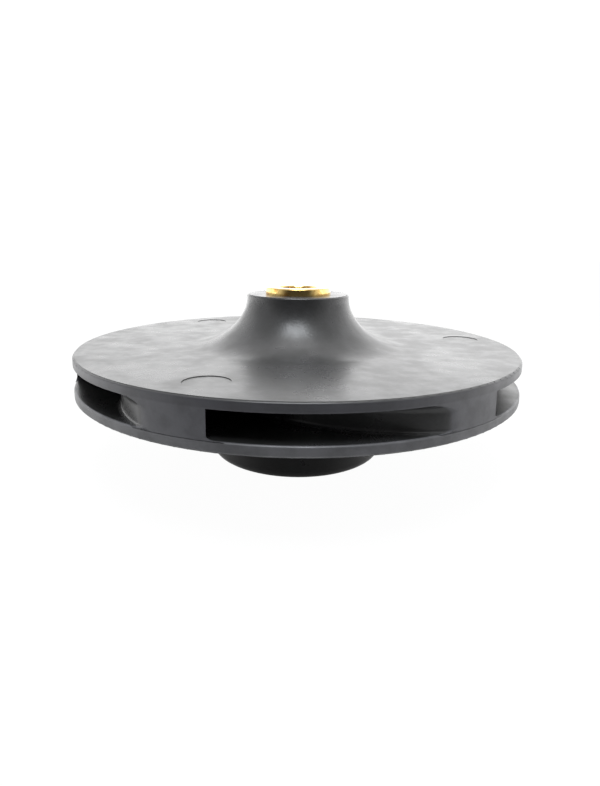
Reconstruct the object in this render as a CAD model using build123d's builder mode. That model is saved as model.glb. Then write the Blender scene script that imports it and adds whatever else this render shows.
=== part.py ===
"""Closed centrifugal pump impeller, hub side up, standing on its suction neck.

Three pieces: the moulded impeller body (threaded hub, back shroud and six backward-curved
vanes), the moulded front shroud with its suction neck, which is welded to the vanes' edges,
and the brass insert that is moulded into the hub and screws onto the motor shaft.

Millimetres. The origin is the centre of the suction neck's end face, on the axis of rotation,
and +Z is that axis, towards the hub.
"""

import os
from math import acos, cos, degrees, radians, sin, sqrt, tan

from build123d import *

# Driving dimensions
impeller_radius = 62.0
rim_edge_radius = 0.6

neck_height = 21.4
neck_wall = 3.2
eye_radius = 22.2
neck_lip_outer_radius = 2.3
neck_lip_inner_radius = 0.3
neck_root_radius = 4.0
throat_radius = 6.0

front_shroud_thickness = 2.5
weld_groove_radius = 0.45
outlet_width = 6.3
back_shroud_thickness = 2.2

hub_height = 14.3
hub_top_radius = 14.9
hub_top_edge_radius = 0.5
hub_barrel_height = 1.6
hub_barrel_draft = 2.7
flare_foot_radius = 31.0
flare_foot_fullness = 0.54
flare_top_fullness = 0.46

nose_radius = 12.5
nose_edge_radius = 4.5
nose_wall = 5.9
hub_turn_radius = 7.5

vane_count = 6
vane_thickness = 3.8
vane_outlet_angle = 17.5
vane_inlet_angle = 26.0
vane_inlet_radius = 26.0
vane_foot_radius = 2.2
vane_foot_core = 1.4
weld_bead_radius = 0.9
vane_tip_round_before = 2.5
vane_tip_round_after = 1.2
vane_throat_drop = 2.0
first_tip_angle = -119.7

insert_length = 26.0
insert_collar_radius = 9.55
insert_collar_height = 2.0
insert_collar_depth = 1.5
insert_collar_chamfer = 0.3
insert_body_radius = 8.6
insert_groove_count = 2
insert_groove_radius = 7.7
insert_groove_width = 2.5
insert_flute_count = 18
insert_flute_radius = 0.7
thread_hole_radius = 4.95
thread_hole_depth = 20.5
thread_mouth_radius = 5.8

witness_count = 3
witness_radius = 5.2
witness_circle_radius = 51.7
witness_depth = 0.15
first_witness_angle = -111.3

# Levels along the axis
front_inner_z = neck_height + front_shroud_thickness
vane_foot_z = front_inner_z + outlet_width
back_outer_z = vane_foot_z + back_shroud_thickness
hub_top_z = back_outer_z + hub_height
barrel_foot_z = hub_top_z - hub_barrel_height
collar_foot_z = hub_top_z - insert_collar_depth
insert_top_z = hub_top_z + insert_collar_height
insert_end_z = insert_top_z - insert_length
nose_end_z = insert_end_z - nose_wall

# Radii and lengths that follow
neck_radius = eye_radius + neck_wall
draft_slope = tan(radians(hub_barrel_draft))
barrel_foot_radius = hub_top_radius + hub_barrel_height * draft_slope
flare_handle = flare_foot_fullness * (flare_foot_radius - barrel_foot_radius)
flare_drop = flare_top_fullness * (barrel_foot_z - back_outer_z)
vane_ring_radius = nose_radius + hub_turn_radius

# What the cutting shapes reach beyond the finished surfaces
vane_overrun = 9.0
core_overrun = 2.0
plate_overrun = 14.0
plate_depth = back_shroud_thickness / 2
cut_margin = 1.0


def polar(radius, angle):
    """The point at this radius and angle about the axis."""
    return Vector(radius * cos(radians(angle)), radius * sin(radians(angle)))


def corner(profile, radius, z):
    """The vertex of a half section that lies nearest to this radius and height."""
    return profile.vertices().sort_by_distance((radius, z))[0]


def widest_edges(piece):
    """The edges around a piece's largest radius."""
    return piece.edges().filter_by(GeomType.CIRCLE).group_by(SortBy.RADIUS)[-1]


# Both faces of a vane are arcs about one centre. The arc's radius and its centre's distance
# from the axis follow from the angles that the convex face makes with the rim at the outlet
# and with the inlet circle at the eye.
outlet_run = impeller_radius * cos(radians(vane_outlet_angle))
inlet_run = vane_inlet_radius * cos(radians(vane_inlet_angle))
convex_radius = (impeller_radius**2 - vane_inlet_radius**2) / (2 * (outlet_run - inlet_run))
concave_radius = convex_radius - vane_thickness
centre_distance = sqrt(impeller_radius**2 + convex_radius**2 - 2 * convex_radius * outlet_run)


def angle_to_centre(radius, arc_radius):
    """The angle at the axis from the arc's point at this radius to the arc's centre."""
    side = centre_distance**2 + radius**2 - arc_radius**2
    return degrees(acos(side / (2 * centre_distance * radius)))


centre_angle = first_tip_angle + angle_to_centre(impeller_radius, convex_radius)
vane_centre = polar(centre_distance, centre_angle)


def face_point(radius, arc_radius):
    """The point at this radius on an arc about the vane's centre."""
    return polar(radius, centre_angle - angle_to_centre(radius, arc_radius))


# One vane seen along the axis, from its rounded leading edge to beyond the rim. Just before
# the rim the convex face bends towards it.
root_convex = face_point(vane_inlet_radius, convex_radius)
inward = (vane_centre - root_convex).normalized()
root_concave = root_convex + inward * vane_thickness
upstream = inward.rotate(Axis.Z, 90)
nose_tip = root_convex + (inward + upstream) * vane_thickness / 2
core_tip = root_convex + (inward + upstream) * vane_foot_core / 2
tip_corner = face_point(impeller_radius, convex_radius) - vane_centre
round_start = vane_centre + tip_corner.rotate(Axis.Z, -degrees(vane_tip_round_before / convex_radius))
round_end = polar(impeller_radius, first_tip_angle + degrees(vane_tip_round_after / impeller_radius))
tip_concave = face_point(impeller_radius, concave_radius)
tip_core = face_point(impeller_radius, convex_radius - vane_foot_core)

with BuildSketch() as vane_plan:
    with BuildLine():
        nose = ThreePointArc(root_concave, nose_tip, root_convex)
        convex_face = TangentArc(nose @ 1, round_start, tangent=nose % 1)
        tip_round = TangentArc(convex_face @ 1, round_end, tangent=convex_face % 1)
        convex_run = Line(tip_round @ 1, tip_round @ 1 + (tip_round % 1) * vane_overrun)
        concave_face = TangentArc(nose @ 0, tip_concave, tangent=(nose % 0) * -1)
        concave_run = Line(concave_face @ 1, concave_face @ 1 + (concave_face % 1) * vane_overrun)
        Line(convex_run @ 1, concave_run @ 1)
    make_face()

# A thinner vane inside the convex face, whose foot is filleted all round. The whole vane
# covers that fillet on the concave side, where the corner stays sharp.
with BuildSketch() as core_plan:
    with BuildLine():
        core_nose = ThreePointArc(root_convex + inward * vane_foot_core, core_tip, root_convex)
        add([convex_face, tip_round])
        outer_run = Line(tip_round @ 1, tip_round @ 1 + (tip_round % 1) * core_overrun)
        core_face = TangentArc(core_nose @ 0, tip_core, tangent=(core_nose % 0) * -1)
        core_run = Line(core_face @ 1, core_face @ 1 + (core_face % 1) * core_overrun)
        Line(outer_run @ 1, core_run @ 1)
    make_face()

# Front shroud: a flat disc that turns down into the suction neck. The blank also trims the
# vanes, so they meet it face to face, and its rim is rounded only after that.
with BuildPart() as front_shroud_blank:
    with BuildSketch(Plane.XZ) as front_profile:
        with BuildLine():
            Polyline(
                (eye_radius, 0),
                (neck_radius, 0),
                (neck_radius, neck_height),
                (impeller_radius, neck_height),
                (impeller_radius, front_inner_z),
                (eye_radius, front_inner_z),
                close=True,
            )
        make_face()
        fillet(corner(front_profile, eye_radius, 0), neck_lip_inner_radius)
        fillet(corner(front_profile, neck_radius, 0), neck_lip_outer_radius)
        fillet(corner(front_profile, neck_radius, neck_height), neck_root_radius)
        fillet(corner(front_profile, eye_radius, front_inner_z), throat_radius)
    revolve(axis=Axis.Z)

with BuildPart() as front_shroud:
    add(front_shroud_blank.part)
    fillet(widest_edges(front_shroud).sort_by(Axis.Z)[0], rim_edge_radius)
    fillet(widest_edges(front_shroud).sort_by(Axis.Z)[-1], weld_groove_radius)

# The bead along the vanes' welded edges, raised on an oversize plate that is cut away again.
with BuildPart() as weld_bead:
    with BuildSketch(Plane.XY.offset(front_inner_z - vane_throat_drop)):
        Circle(impeller_radius + plate_overrun)
    plate = extrude(amount=vane_throat_drop)
    with BuildSketch(Plane.XY.offset(front_inner_z)):
        with PolarLocations(0, vane_count):
            add(vane_plan.sketch)
    extrude(amount=outlet_width / 2)
    plate_face = weld_bead.faces().filter_by(Plane.XY).sort_by(Axis.Z)[1]
    fillet(plate_face.inner_wires().edges(), weld_bead_radius)
    add(plate, mode=Mode.SUBTRACT)

# Vanes on an oversize plate, with a fillet at the foot of each, cut to the rim afterwards.
with BuildPart() as vane_wheel:
    with BuildSketch(Plane.XY.offset(vane_foot_z)):
        Circle(impeller_radius + plate_overrun)
    extrude(amount=plate_depth)
    with BuildSketch(Plane.XY.offset(front_inner_z)):
        with PolarLocations(0, vane_count):
            add(core_plan.sketch)
    extrude(amount=outlet_width)
    plate_face = vane_wheel.faces().filter_by(Plane.XY).sort_by(Axis.Z)[-2]
    fillet(plate_face.inner_wires().edges(), vane_foot_radius)
    with BuildSketch(Plane.XY.offset(front_inner_z - vane_throat_drop)):
        with PolarLocations(0, vane_count):
            add(vane_plan.sketch)
    extrude(amount=outlet_width + vane_throat_drop)
    add(weld_bead.part)
    with BuildSketch(Plane.XY.offset(front_inner_z - vane_throat_drop)):
        Circle(impeller_radius)
        Circle(vane_ring_radius, mode=Mode.SUBTRACT)
    extrude(amount=outlet_width + vane_throat_drop + plate_depth, mode=Mode.INTERSECT)
    add(front_shroud_blank.part, mode=Mode.SUBTRACT)

# Brass insert: a collar that stands proud of the hub, and a fluted and grooved body that the
# plastic grips. The blank, without its hole, also makes the hub's cavity.
with BuildPart() as insert_blank:
    with BuildSketch(Plane.XZ):
        with BuildLine():
            Polyline(
                (0, insert_end_z),
                (insert_body_radius, insert_end_z),
                (insert_body_radius, collar_foot_z),
                (insert_collar_radius, collar_foot_z),
                (insert_collar_radius, insert_top_z),
                (0, insert_top_z),
                close=True,
            )
        make_face()
    revolve(axis=Axis.Z)
    with BuildSketch(Plane.XY.offset(insert_end_z)):
        with PolarLocations(insert_body_radius + insert_flute_radius / 2, insert_flute_count):
            Circle(insert_flute_radius)
    extrude(amount=collar_foot_z - insert_end_z, mode=Mode.SUBTRACT)
    groove_pitch = (collar_foot_z - insert_end_z) / (insert_groove_count + 1)
    for index in range(insert_groove_count):
        with BuildSketch(Plane.XY.offset(insert_end_z + (index + 1) * groove_pitch)):
            Circle(insert_body_radius + cut_margin)
            Circle(insert_groove_radius, mode=Mode.SUBTRACT)
        extrude(amount=insert_groove_width / 2, both=True, mode=Mode.SUBTRACT)

with BuildPart() as shaft_insert:
    add(insert_blank.part)
    collar_edge = shaft_insert.edges().filter_by(GeomType.CIRCLE).group_by(Axis.Z)[-1]
    chamfer(collar_edge, insert_collar_chamfer)
    with Locations((0, 0, insert_top_z)):
        CounterSinkHole(thread_hole_radius, thread_mouth_radius, depth=thread_hole_depth)

# Impeller body: hub, back shroud and vanes in one moulding.
with BuildPart() as impeller_body:
    with BuildSketch(Plane.XZ) as body_profile:
        with BuildLine():
            Polyline(
                (0, hub_top_z),
                (0, nose_end_z),
                (nose_radius, nose_end_z),
                (nose_radius, vane_foot_z),
                (impeller_radius, vane_foot_z),
                (impeller_radius, back_outer_z),
                (flare_foot_radius, back_outer_z),
            )
            Bezier(
                (flare_foot_radius, back_outer_z),
                (flare_foot_radius - flare_handle, back_outer_z),
                (barrel_foot_radius + flare_drop * draft_slope, barrel_foot_z - flare_drop),
                (barrel_foot_radius, barrel_foot_z),
            )
            Polyline(
                (barrel_foot_radius, barrel_foot_z),
                (hub_top_radius, hub_top_z),
                (0, hub_top_z),
            )
        make_face()
        fillet(corner(body_profile, nose_radius, nose_end_z), nose_edge_radius)
        fillet(corner(body_profile, nose_radius, vane_foot_z), hub_turn_radius)
        fillet(corner(body_profile, impeller_radius, back_outer_z), rim_edge_radius)
        fillet(corner(body_profile, hub_top_radius, hub_top_z), hub_top_edge_radius)
    revolve(axis=Axis.Z)
    add(vane_wheel.part)
    add(insert_blank.part, mode=Mode.SUBTRACT)
    with BuildSketch(Plane.XY.offset(back_outer_z - witness_depth)):
        with PolarLocations(witness_circle_radius, witness_count, first_witness_angle):
            Circle(witness_radius)
    extrude(amount=witness_depth, mode=Mode.SUBTRACT)

impeller_body.part.label = "impeller_body"
front_shroud.part.label = "front_shroud"
shaft_insert.part.label = "shaft_insert"

os.makedirs("parts", exist_ok=True)
export_step(impeller_body.part, "parts/impeller_body.step")
export_step(front_shroud.part, "parts/front_shroud.step")
export_step(shaft_insert.part, "parts/shaft_insert.step")
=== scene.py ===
import math
from collections import namedtuple

import bpy
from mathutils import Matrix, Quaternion, Vector


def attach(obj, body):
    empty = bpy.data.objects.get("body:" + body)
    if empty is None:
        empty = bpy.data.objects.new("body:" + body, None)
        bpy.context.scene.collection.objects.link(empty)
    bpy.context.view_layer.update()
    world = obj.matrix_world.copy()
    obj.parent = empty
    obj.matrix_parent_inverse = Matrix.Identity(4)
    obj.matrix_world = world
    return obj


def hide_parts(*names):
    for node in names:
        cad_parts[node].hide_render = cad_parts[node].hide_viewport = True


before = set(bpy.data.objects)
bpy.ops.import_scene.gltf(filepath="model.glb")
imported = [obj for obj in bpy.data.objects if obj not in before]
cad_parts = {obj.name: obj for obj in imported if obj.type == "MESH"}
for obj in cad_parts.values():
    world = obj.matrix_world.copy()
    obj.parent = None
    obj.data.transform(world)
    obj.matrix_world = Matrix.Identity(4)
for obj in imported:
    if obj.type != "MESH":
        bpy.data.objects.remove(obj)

MM = 0.001
IMAGE_WIDTH, IMAGE_HEIGHT = 600, 786
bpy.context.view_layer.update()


# ---------------------------------------------------------------- node helpers
class Nodes:
    """Short calls for building one node tree."""

    def __init__(self, tree):
        self.tree = tree

    def add(self, kind, inputs=None, **settings):
        node = self.tree.nodes.new(kind)
        for name, value in settings.items():
            setattr(node, name, value)
        for name, value in (inputs or {}).items():
            self.put(node.inputs[name], value)
        return node

    def put(self, socket, value):
        """Link a socket or a node's first output to the socket, or set a plain value on it."""
        if isinstance(value, bpy.types.NodeSocket):
            self.tree.links.new(value, socket)
        elif isinstance(value, bpy.types.Node):
            self.tree.links.new(value.outputs[0], socket)
        else:
            socket.default_value = value

    def math(self, operation, *values):
        node = self.add("ShaderNodeMath", operation=operation)
        for socket, value in zip(node.inputs, values):
            self.put(socket, value)
        return node.outputs[0]

    def plus(self, a, b):
        return self.math("ADD", a, b)

    def minus(self, a, b):
        return self.math("SUBTRACT", a, b)

    def times(self, a, b):
        return self.math("MULTIPLY", a, b)

    def vector_math(self, operation, a, b=None, scale=None):
        inputs = {0: a}
        if b is not None:
            inputs[1] = b
        if scale is not None:
            inputs["Scale"] = scale
        return self.add("ShaderNodeVectorMath", inputs, operation=operation).outputs[0]

    def split(self, vector):
        return self.add("ShaderNodeSeparateXYZ", {"Vector": vector}).outputs

    def join(self, x=0.0, y=0.0, z=0.0):
        return self.add("ShaderNodeCombineXYZ", {"X": x, "Y": y, "Z": z}).outputs[0]

    def ramp(self, value, low, high, to_low=0.0, to_high=1.0):
        """value from low..high onto to_low..to_high, smoothly."""
        node = self.add("ShaderNodeMapRange", interpolation_type="SMOOTHSTEP")
        for socket, given in zip(node.inputs, (value, low, high, to_low, to_high)):
            self.put(socket, given)
        return node.outputs[0]

    def noise(self, vector, scale, detail, roughness, distortion=0.0):
        node = self.add("ShaderNodeTexNoise", {
            "Vector": vector, "Scale": scale, "Detail": detail,
            "Roughness": roughness, "Distortion": distortion}, noise_dimensions="3D")
        return node.outputs[0]

    def mix(self, kind, factor, a, b):
        """a to b, where kind is RGBA for two colours and VECTOR for two vectors."""
        node = self.add("ShaderNodeMix", {"Factor": factor}, data_type=kind)
        for name, value in (("A", a), ("B", b)):
            socket = [s for s in node.inputs if s.name == name and s.type == kind][0]
            self.put(socket, value)
        return [s for s in node.outputs if s.type == kind][0]

    def axis_radius(self, x, y):
        """The distance from the axis."""
        return self.math("SQRT", self.plus(self.times(x, x), self.times(y, y)))

    def place(self):
        """Object coordinates, with the distance from the axis and the height, in metres."""
        coordinates = self.add("ShaderNodeTexCoord").outputs["Object"]
        x, y, z = self.split(coordinates)
        return coordinates, self.axis_radius(x, y), z


def new_material(name):
    material = bpy.data.materials.new(name)
    material.use_nodes = True
    material.node_tree.nodes.clear()
    return material, Nodes(material.node_tree)


def grey(level, blue=1.0):
    return (level, level, level * blue, 1.0)


# ---------------------------------------------------------------- rounded edges
# An edge that runs round the axis. Its arc's centre has this distance from the axis and this
# height, and side is 1 for an edge above its centre and -1 for one below.
RoundedEdge = namedtuple("RoundedEdge", "from_axis height side arc_radius")

DISC_EDGE = RoundedEdge(61.4 * MM, 31.8 * MM, 1.0, 0.6 * MM)
HUB_EDGE = RoundedEdge(14.423 * MM, 46.2 * MM, 1.0, 0.5 * MM)
LOWER_EDGE = RoundedEdge(61.4 * MM, 22.0 * MM, -1.0, 0.6 * MM)
BODY_EDGES = [DISC_EDGE, HUB_EDGE]
SHROUD_EDGES = [LOWER_EDGE]

# How far inside an edge's arc its own normal already counts, for the facets between its points.
EDGE_MARGIN = 0.1 * MM


def edge_normal(n, coordinates, radius, z, edge):
    """Where a rounded edge is, as 0 or 1, and the exact surface normal there."""
    outward = n.minus(radius, edge.from_axis)
    upward = n.minus(z, edge.height)
    on_edge = n.times(n.math("GREATER_THAN", outward, -EDGE_MARGIN),
                      n.math("GREATER_THAN", n.times(upward, edge.side), 0.0))
    spoke = n.vector_math("NORMALIZE", n.vector_math("MULTIPLY", coordinates, (1.0, 1.0, 0.0)))
    slant = n.vector_math("SCALE", spoke, scale=n.math("MAXIMUM", outward, 0.0))
    local = n.vector_math("ADD", slant, n.join(z=upward))
    turned = n.add("ShaderNodeVectorTransform", {"Vector": local}, vector_type="NORMAL",
                   convert_from="OBJECT", convert_to="WORLD").outputs[0]
    return on_edge, n.vector_math("NORMALIZE", turned)


# ---------------------------------------------------------------- materials
PLASTIC_ROUGHNESS = 0.31
PLASTIC_IOR = 1.58
TURNED_ROUGHER = 0.08
SKIN_DEPTH = 0.035 * MM


def moulded_plastic(name, dark, light, rim_band_from, turned_and_painted_light_colour, edge_highlight_below, painted_edge_highlight_colour, edges):
    """Glass-filled plastic with a fine leathery skin, clouded by its flow.

    It is lighter on the rim, partly for its turned finish and partly as painted light for the
    light the rim catches, and it has a painted highlight along the rim's lowest edge."""
    material, n = new_material(name)
    coordinates, radius, z = n.place()
    clouds = n.noise(coordinates, 45.0, 4.0, 0.55)
    flow = n.noise(coordinates, 190.0, 4.0, 0.6)
    skin = n.noise(coordinates, 1300.0, 3.0, 0.55)
    grain = n.noise(coordinates, 3800.0, 2.0, 0.5)

    mottle = n.plus(n.times(clouds, 0.5), n.times(flow, 0.5))
    colour = n.mix("RGBA", n.ramp(mottle, 0.38, 0.62), dark, light)
    # Rim band: partly a turned finish, partly painted light that brightens the rim as the light
    # falling on it would.
    turned = n.ramp(radius, rim_band_from, rim_band_from + 0.3 * MM)
    patchy = n.ramp(flow, 0.3, 0.7, 0.6, 1.0)
    colour = n.mix("RGBA", n.times(turned, patchy), colour, turned_and_painted_light_colour)
    # Painted highlight: a pale line on the rim's lowest edge stands in for the light that edge
    # catches.
    painted_edge_highlight = n.times(turned, n.ramp(z, edge_highlight_below, edge_highlight_below - 0.5 * MM))
    patchy = n.ramp(flow, 0.35, 0.6, 0.4, 1.0)
    colour = n.mix("RGBA", n.times(painted_edge_highlight, patchy), colour, painted_edge_highlight_colour)

    gloss = n.ramp(mottle, 0.35, 0.65, PLASTIC_ROUGHNESS + 0.05, PLASTIC_ROUGHNESS - 0.05)
    gloss = n.plus(gloss, n.times(turned, TURNED_ROUGHER))

    # The skin is finer on the disc than on the hub and its flare.
    hub_skin = n.ramp(z, 34.0 * MM, 39.0 * MM, 0.5, 1.0)
    height = n.times(n.plus(skin, n.times(grain, 0.36)), hub_skin)
    height = n.plus(height, n.times(flow, 0.5))
    normal = n.add("ShaderNodeNewGeometry").outputs["Normal"]
    for edge in edges:
        on_edge, exact = edge_normal(n, coordinates, radius, z, edge)
        normal = n.mix("VECTOR", on_edge, normal, exact)
    bump = n.add("ShaderNodeBump", {
        "Strength": 1.0, "Distance": SKIN_DEPTH, "Height": height, "Normal": normal})

    shader = n.add("ShaderNodeBsdfPrincipled", {
        "Base Color": colour, "Roughness": gloss, "Normal": bump, "IOR": PLASTIC_IOR})
    n.add("ShaderNodeOutputMaterial", {"Surface": shader})
    return material


BRIGHT_BRASS = (0.90, 0.66, 0.25, 1.0)
TARNISHED_BRASS = (0.60, 0.32, 0.08, 1.0)
TOOL_LINES_PER_METRE = 9000.0
TOOL_LINE_DEPTH = 0.01 * MM


def turned_brass(name):
    """Bright turned brass with fine tool lines round the axis and a little tarnish."""
    material, n = new_material(name)
    coordinates, radius, z = n.place()
    rings = n.join(n.times(radius, TOOL_LINES_PER_METRE), n.times(z, TOOL_LINES_PER_METRE))
    lines = n.noise(rings, 1.0, 2.0, 0.5)
    tarnish = n.noise(coordinates, 260.0, 4.0, 0.6, 0.8)
    colour = n.mix("RGBA", n.ramp(tarnish, 0.42, 0.7), BRIGHT_BRASS, TARNISHED_BRASS)
    gloss = n.ramp(tarnish, 0.3, 0.7, 0.10, 0.22)
    bump = n.add("ShaderNodeBump", {"Strength": 0.3, "Distance": TOOL_LINE_DEPTH, "Height": lines})
    shader = n.add("ShaderNodeBsdfPrincipled", {
        "Base Color": colour, "Metallic": 1.0, "Roughness": gloss, "Normal": bump})
    n.add("ShaderNodeOutputMaterial", {"Surface": shader})
    return material


# The rim colours are partly the turned finish and partly painted light, and the edge colours are
# painted highlights.
body_plastic = moulded_plastic(
    "body_plastic", dark=grey(0.036), light=grey(0.054, 1.03),
    rim_band_from=61.6 * MM, turned_and_painted_light_colour=grey(0.085, 1.12),
    edge_highlight_below=30.6 * MM, painted_edge_highlight_colour=grey(0.110, 1.1), edges=BODY_EDGES)
shroud_plastic = moulded_plastic(
    "shroud_plastic", dark=grey(0.022), light=grey(0.034, 1.03),
    rim_band_from=61.3 * MM, turned_and_painted_light_colour=grey(0.150, 1.06),
    edge_highlight_below=22.1 * MM, painted_edge_highlight_colour=grey(0.300, 1.02), edges=SHROUD_EDGES)
insert_brass = turned_brass("insert_brass")


# ---------------------------------------------------------------- CAD nodes
WELD_DISTANCE = 0.001 * MM
ARC_START = 0.03 * MM
ARC_END = 0.02 * MM
SHARP_FROM = math.radians(70.0)


def set_on_chord(n, shape, edge):
    """The shape with the points within a rounded edge's arc set back to the arc's chord."""
    x, y, z = n.split(n.add("GeometryNodeInputPosition").outputs[0])
    radius = n.axis_radius(x, y)
    outward = n.minus(radius, edge.from_axis)
    upward = n.times(n.minus(z, edge.height), edge.side)
    on_arc = n.times(n.math("GREATER_THAN", outward, ARC_START),
                     n.math("GREATER_THAN", upward, ARC_START))
    furthest = n.math("MAXIMUM", outward, upward)
    on_arc = n.times(on_arc, n.math("LESS_THAN", furthest, edge.arc_radius - ARC_END))
    excess = n.times(n.minus(n.plus(outward, upward), edge.arc_radius), 0.5)
    inward = n.times(n.math("DIVIDE", excess, radius), -1.0)
    shift = n.join(n.times(x, inward), n.times(y, inward), n.times(excess, -edge.side))
    move = n.add("GeometryNodeSetPosition", {
        "Geometry": shape, "Selection": on_arc, "Offset": shift})
    return move.outputs[0]


def smooth_faces_group(name, edges):
    """Joins the doubled points of the faces for smooth shading, and evens the rounded edges.

    Some columns of a rounded edge have points on its arc and others have none, so all of
    them follow the chord, which every column has."""
    group = bpy.data.node_groups.new(name, "GeometryNodeTree")
    group.interface.new_socket("Geometry", in_out="INPUT", socket_type="NodeSocketGeometry")
    group.interface.new_socket("Geometry", in_out="OUTPUT", socket_type="NodeSocketGeometry")
    n = Nodes(group)
    shape = n.add("GeometryNodeMergeByDistance", {
        "Geometry": n.add("NodeGroupInput"), "Distance": WELD_DISTANCE}).outputs[0]
    for edge in edges:
        shape = set_on_chord(n, shape, edge)
    n.add("NodeGroupOutput", {0: n.add("GeometryNodeSetShadeSmooth", {"Geometry": shape})})
    return group


def show_in(node_name, material, edges):
    """The material on a CAD node, which is shaded smooth up to its sharp edges."""
    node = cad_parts[node_name]
    node.data.materials.clear()
    node.data.materials.append(material)
    faces = node.modifiers.new("smooth_faces", "NODES")
    faces.node_group = smooth_faces_group(node_name + "_faces", edges)
    split = node.modifiers.new("sharp_edges", "EDGE_SPLIT")
    split.split_angle = SHARP_FROM
    weighted = node.modifiers.new("even_shading", "WEIGHTED_NORMAL")
    weighted.mode = "FACE_AREA"
    weighted.weight = 100


show_in("impeller_body", body_plastic, BODY_EDGES)
show_in("front_shroud", shroud_plastic, SHROUD_EDGES)


# ---------------------------------------------------------------- threaded insert
INSERT_TOP = 48.7 * MM
INSERT_END = 22.7 * MM
COLLAR_FOOT = 45.2 * MM
COLLAR_RADIUS = 9.55 * MM
COLLAR_CHAMFER = 0.3 * MM
BODY_RADIUS = 8.6 * MM
GROOVE_RADIUS = 7.7 * MM
GROOVE_WIDTH = 2.5 * MM
HOLE_BOTTOM = 28.2 * MM
MOUTH_RADIUS = 5.8 * MM
MOUTH_DEPTH = 0.98 * MM
# Rings that keep the flat faces' triangles short.
TOP_RINGS = (6.6 * MM, 8.4 * MM)
BOTTOM_RING = 2.0 * MM
END_RING = 3.0 * MM

THREAD_END = 30.7 * MM
THREAD_PITCH = 1.27 * MM
THREAD_CREST = 4.95 * MM
THREAD_ROOT = 5.556 * MM
# Shares of the pitch.
CREST_FLAT = 0.125
ROOT_FLAT = 0.25
FLANK = (1.0 - CREST_FLAT - ROOT_FLAT) / 2

STEPS_PER_TURN = 14
AROUND = 144


def thread_radius(z, turn):
    """The hole's wall at this height and fraction of a turn.

    It is a right-hand thread under a conical mouth."""
    phase = (z / THREAD_PITCH - turn) % 1.0
    depth = min(1.0, max(0.0, (0.5 - CREST_FLAT / 2 - abs(phase - 0.5)) / FLANK))
    fade = min(1.0, max(0.0, (z - THREAD_END) / THREAD_PITCH))
    wall = THREAD_CREST + (THREAD_ROOT - THREAD_CREST) * depth * fade
    cone = MOUTH_RADIUS - (INSERT_TOP - z) * (MOUTH_RADIUS - THREAD_CREST) / MOUTH_DEPTH
    return max(wall, cone)


def insert_stations():
    """Rings as (z, radius), from the hole's bottom over the collar and down the body.

    The radius is None where the thread gives it."""
    rings = [(HOLE_BOTTOM, BOTTOM_RING), (HOLE_BOTTOM, THREAD_CREST)]
    depth = INSERT_TOP - HOLE_BOTTOM
    count = round(depth / THREAD_PITCH * STEPS_PER_TURN)
    for index in range(1, count):
        rings.append((HOLE_BOTTOM + depth * index / count, None))
    rings.append((INSERT_TOP, MOUTH_RADIUS))
    rings += [(INSERT_TOP, radius) for radius in TOP_RINGS]
    rings.append((INSERT_TOP, COLLAR_RADIUS - COLLAR_CHAMFER))
    rings.append((INSERT_TOP - COLLAR_CHAMFER, COLLAR_RADIUS))
    rings += [(COLLAR_FOOT, COLLAR_RADIUS), (COLLAR_FOOT, BODY_RADIUS)]
    pitch = (COLLAR_FOOT - INSERT_END) / 3
    for middle in (INSERT_END + 2 * pitch, INSERT_END + pitch):
        top, low = middle + GROOVE_WIDTH / 2, middle - GROOVE_WIDTH / 2
        rings += [(top, BODY_RADIUS), (top, GROOVE_RADIUS)]
        rings += [(low, GROOVE_RADIUS), (low, BODY_RADIUS)]
    rings += [(INSERT_END, BODY_RADIUS), (INSERT_END, END_RING)]
    return rings


def build_insert():
    vertices, faces = [], []
    rings = insert_stations()
    for z, radius in rings:
        for step in range(AROUND):
            turn = step / AROUND
            angle = math.tau * turn
            r = thread_radius(z, turn) if radius is None else radius
            vertices.append((r * math.cos(angle), r * math.sin(angle), z))
    for ring in range(len(rings) - 1):
        for step in range(AROUND):
            a, b = ring * AROUND + step, ring * AROUND + (step + 1) % AROUND
            faces.append((a, a + AROUND, b + AROUND, b))
    faces.append(tuple(range(AROUND)))
    faces.append(tuple(reversed(range((len(rings) - 1) * AROUND, len(rings) * AROUND))))
    mesh = bpy.data.meshes.new("threaded_insert")
    mesh.from_pydata(vertices, [], faces)
    mesh.update()
    mesh.materials.append(insert_brass)
    mesh.shade_smooth()
    mesh.set_sharp_from_angle(angle=math.radians(28.0))
    piece = bpy.data.objects.new("threaded_insert", mesh)
    bpy.context.scene.collection.objects.link(piece)
    return piece


threaded_insert = build_insert()
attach(threaded_insert, "root")
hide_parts("shaft_insert")


# ---------------------------------------------------------------- camera
# Fitted to the photo: the middle of the disc's top face and the pixel it is seen at.
TARGET = Vector((0.0, 0.0, 32.4 * MM))
TARGET_PIXEL = (297.52, 341.43)
CAMERA_DISTANCE = 153.82 * MM
CAMERA_ELEVATION = math.radians(10.239)
CAMERA_ROLL = math.radians(0.708)
FOCAL_PIXELS = 513.22
SENSOR = 36.0

camera_data = bpy.data.cameras.new("camera")
camera = bpy.data.objects.new("camera", camera_data)
bpy.context.scene.collection.objects.link(camera)
back = Vector((0.0, -math.cos(CAMERA_ELEVATION), math.sin(CAMERA_ELEVATION)))
roll = Quaternion((0.0, 0.0, 1.0), CAMERA_ROLL)
camera.location = TARGET + back * CAMERA_DISTANCE
camera.rotation_mode = "QUATERNION"
camera.rotation_quaternion = (-back).to_track_quat("-Z", "Y") @ roll
camera_data.sensor_width = SENSOR
camera_data.lens = SENSOR * FOCAL_PIXELS / IMAGE_HEIGHT
camera_data.shift_x = (IMAGE_WIDTH / 2 - TARGET_PIXEL[0]) / IMAGE_HEIGHT
camera_data.shift_y = (TARGET_PIXEL[1] - IMAGE_HEIGHT / 2) / IMAGE_HEIGHT
camera_data.clip_start = 0.005
camera_data.clip_end = 50.0
bpy.context.scene.camera = camera


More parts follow.
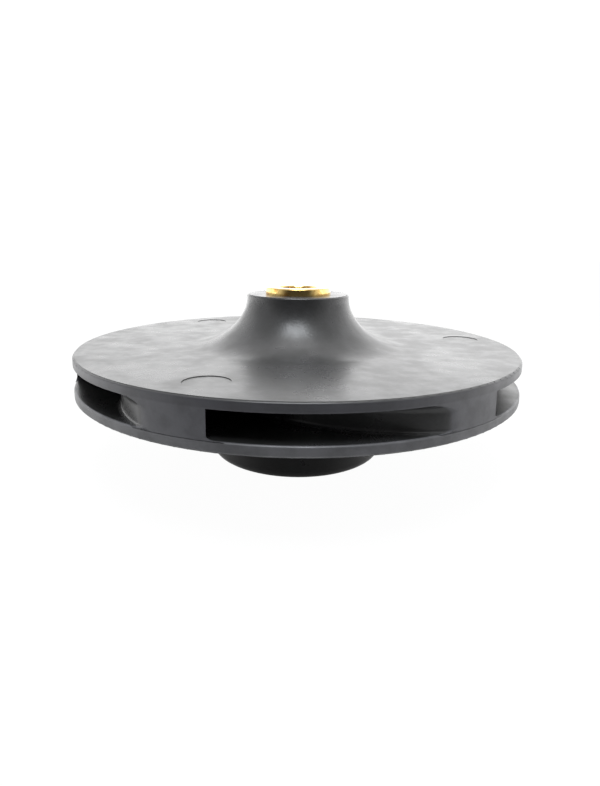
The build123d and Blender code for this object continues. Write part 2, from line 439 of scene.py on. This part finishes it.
# ---------------------------------------------------------------- floor
# A white table that ends just in front of the object, where the dim room begins.
TABLE_SIZE = 6.0
TABLE_FRONT = -0.108
# Centre of the painted shadow that the object sees mirrored in the table.
PAINTED_SHADOW_CENTRE = (0.0, -0.10, 0.0)
TABLE_GREY = 0.50
TABLE_GLOW = 1.08
# The camera sees this share of the glow, and the rest is the table with the object's shadow.
GLOW_SEEN = 0.90

floor_material, n = new_material("pale_floor")
path = n.add("ShaderNodeLightPath")
seen = n.math("MAXIMUM", path.outputs["Is Camera Ray"], path.outputs["Is Transmission Ray"])
position = n.add("ShaderNodeNewGeometry").outputs["Position"]
from_front = n.add(
    "ShaderNodeVectorMath", {0: position, 1: PAINTED_SHADOW_CENTRE}, operation="DISTANCE").outputs["Value"]
# Its mirror image in the object is dim near the front and bright far off: a painted shadow and
# painted light on the table's glow, seen only in reflections, for the object's shadow and the dim
# room in front.
lit = n.plus(n.ramp(from_front, 0.06, 0.12, 0.03, 0.86), n.ramp(from_front, 0.15, 0.35, 0.0, 1.2))
mirrored = n.times(path.outputs["Is Glossy Ray"], lit)
shown = n.math("MAXIMUM", n.times(seen, GLOW_SEEN), n.math("MINIMUM", mirrored, 1.0))
diffuse = n.add("ShaderNodeBsdfDiffuse", {"Color": grey(TABLE_GREY)})
brightness = n.times(n.math("MAXIMUM", mirrored, 1.0), TABLE_GLOW)
glow = n.add("ShaderNodeEmission", {"Color": grey(1.0), "Strength": brightness})
mixed = n.add("ShaderNodeMixShader", {0: shown, 1: diffuse, 2: glow})
n.add("ShaderNodeOutputMaterial", {"Surface": mixed})

bpy.ops.mesh.primitive_plane_add(size=TABLE_SIZE, location=(0, TABLE_SIZE / 2 + TABLE_FRONT, 0))
floor = bpy.context.object
floor.name = "floor"
floor.data.materials.append(floor_material)


# ---------------------------------------------------------------- world
# White where the camera sees it. The object sees a dim room in front, a tent above and at
# the sides, and a bright backdrop behind.
world = bpy.data.worlds.new("studio")
bpy.context.scene.world = world
world.use_nodes = True
world.node_tree.nodes.clear()
n = Nodes(world.node_tree)
path = n.add("ShaderNodeLightPath")
across, along, up = n.split(n.add("ShaderNodeTexCoord").outputs["Generated"])
tent = n.ramp(along, -0.85, -0.25, 0.06, 0.75)
backdrop = n.plus(n.ramp(along, 0.0, 0.55, 0.0, 0.65), n.ramp(along, 0.70, 0.97, 0.0, 0.75))
level = n.times(n.plus(tent, backdrop), n.ramp(across, -0.2, 0.9, 1.0, 1.3))
level = n.times(level, n.ramp(up, 0.40, 0.80, 1.0, 0.8))
strength = n.math("MAXIMUM", path.outputs["Is Camera Ray"], level)
surround = n.add("ShaderNodeBackground", {"Color": grey(1.0), "Strength": strength})
n.add("ShaderNodeOutputWorld", {"Surface": surround})


# ---------------------------------------------------------------- lamps
LAMP_TARGET = Vector((0.0, 0.0, 0.04))


def softbox(name, azimuth, elevation, distance, size, radiance, colour=(1.0, 1.0, 1.0)):
    """A square lamp that faces the hub, in front of it at azimuth 0. Angles in degrees."""
    azimuth, elevation = math.radians(azimuth), math.radians(elevation)
    flat = math.cos(elevation)
    towards = Vector((flat * math.sin(azimuth), -flat * math.cos(azimuth), math.sin(elevation)))
    lamp_data = bpy.data.lights.new(name, "AREA")
    lamp_data.shape = "SQUARE"
    lamp_data.size = size
    lamp_data.energy = radiance * math.pi * size**2
    lamp_data.color = colour
    lamp = bpy.data.objects.new(name, lamp_data)
    bpy.context.scene.collection.objects.link(lamp)
    lamp.location = LAMP_TARGET + towards * distance
    lamp.rotation_euler = (-towards).to_track_quat("-Z", "Y").to_euler()


softbox("softbox_front", azimuth=-5.0, elevation=69.5, distance=0.75, size=0.33, radiance=9.5,
        colour=(0.92, 0.96, 1.0))
softbox("softbox_above", azimuth=0.0, elevation=95.0, distance=0.80, size=0.40, radiance=1.6)

bpy.context.scene.view_settings.view_transform = "Standard"
